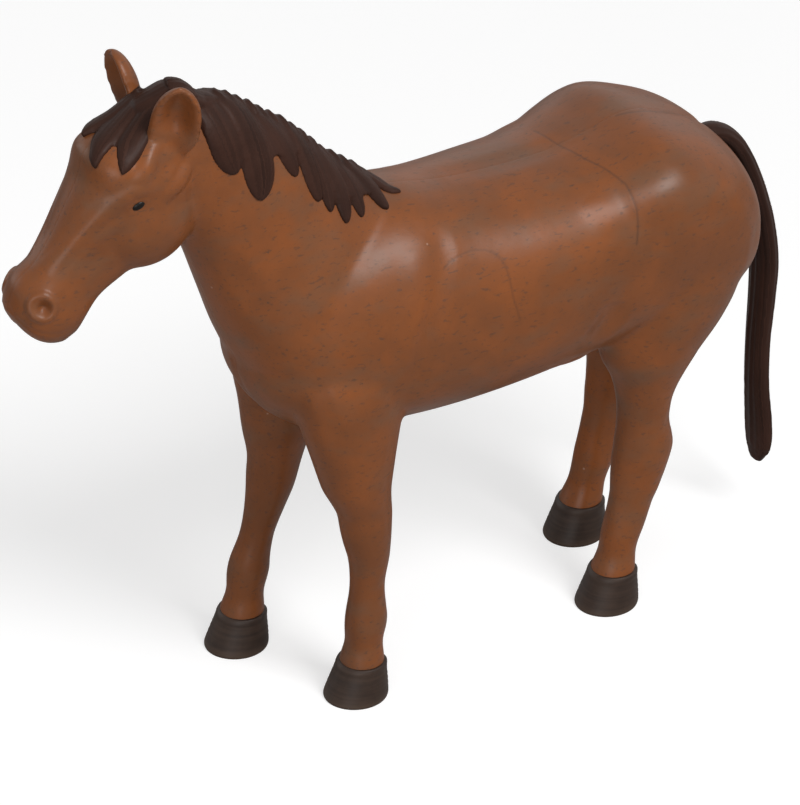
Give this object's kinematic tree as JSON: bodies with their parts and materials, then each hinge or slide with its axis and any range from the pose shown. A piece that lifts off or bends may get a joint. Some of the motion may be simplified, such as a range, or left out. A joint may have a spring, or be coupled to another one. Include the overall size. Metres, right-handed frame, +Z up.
{
  "type": "toy horse figure",
  "caption": "Brown toy farm horse in a slow walk, hollow moulded shells with a separate dark mane, tail, hooves and small black eyes.",
  "frame": {"origin": "on the ground, in the middle of the figure's bounding box", "axes": "-X is where the head looks, -Y is the horse's left side, +Z is up"},
  "size_m": [0.1916, 0.0508, 0.1597],
  "materials": {
    "brown_plastic": "satin mid brown, softly glossy, with a faint mottle and fine dark specks",
    "dark_brown_plastic": "matt dark brown",
    "hoof_plastic": "satin dark brown",
    "black_plastic": "glossy black"
  },
  "bodies": {
    "root": {"left_body_shell": "brown_plastic", "right_body_shell": "brown_plastic", "belly_shell": "brown_plastic", "mane": "dark_brown_plastic", "tail": "dark_brown_plastic", "hoof_fore_left": "hoof_plastic", "hoof_fore_right": "hoof_plastic", "hoof_hind_left": "hoof_plastic", "hoof_hind_right": "hoof_plastic", "left_eye": "black_plastic", "right_eye": "black_plastic"}
  },
  "joints": []
}
